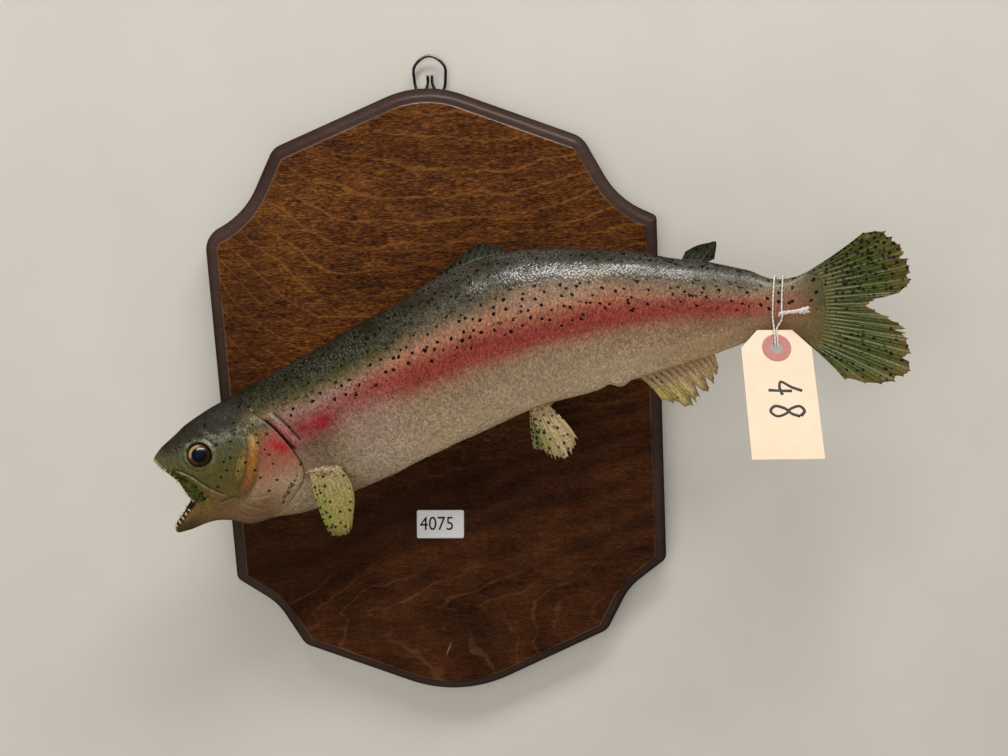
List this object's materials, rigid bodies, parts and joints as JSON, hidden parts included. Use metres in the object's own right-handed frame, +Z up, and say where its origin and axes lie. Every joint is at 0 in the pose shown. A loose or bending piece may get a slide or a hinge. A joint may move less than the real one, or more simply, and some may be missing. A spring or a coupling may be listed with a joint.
{
  "type": "mounted trout",
  "caption": "Rainbow trout with an open mouth, mounted on a shaped wooden wall plaque, with a wire ring hanger, a small stuck label and a card tag tied round the tail.",
  "frame": {"origin": "middle of the plaque's flat back face, where it lies against the wall", "axes": "+Z up, +Y into the wall, +X to the right as seen from the room, towards the tail; the fish shows its left side to -Y"},
  "size_m": [0.3685, 0.1095, 0.3453],
  "materials": {
    "wood": "stained brown, satin varnish, darker moulded edge",
    "steel": "dull grey wire and plate",
    "label_paper": "matt white sticker",
    "fish_skin": "painted and varnished skin, satin to glossy",
    "eye_glass": "polished, dark pupil with a gold iris",
    "fin_green": "dried fin, spotted olive green, satin",
    "fin_pale": "dried fin, cream to tan, satin",
    "tag_card": "matt cream card",
    "tag_patch": "matt dusty red",
    "tag_string": "white cotton string"
  },
  "bodies": {
    "root": {"board": "wood", "hanger_plate": "steel", "hanger_ring": "steel", "hanger_screw_1": "steel", "hanger_screw_2": "steel", "label": "label_paper", "head": "fish_skin", "lower_jaw": "fish_skin", "gill_cover_left": "fish_skin", "gill_cover_right": "fish_skin", "eye_left": "eye_glass", "eye_right": "eye_glass", "trunk_front": "fish_skin", "trunk_middle": "fish_skin", "trunk_rear": "fish_skin", "tail_stem": "fish_skin", "dorsal_fin": "fin_green", "adipose_fin": "fin_green", "anal_fin": "fin_pale", "pectoral_fin_left": "fin_pale", "pectoral_fin_right": "fin_pale", "pelvic_fin_left": "fin_pale", "pelvic_fin_right": "fin_pale", "caudal_fin": "fin_green", "tag_card": "tag_card", "tag_patch": "tag_patch", "tag_string": "tag_string", "tag_knot": "tag_string"}
  },
  "joints": []
}
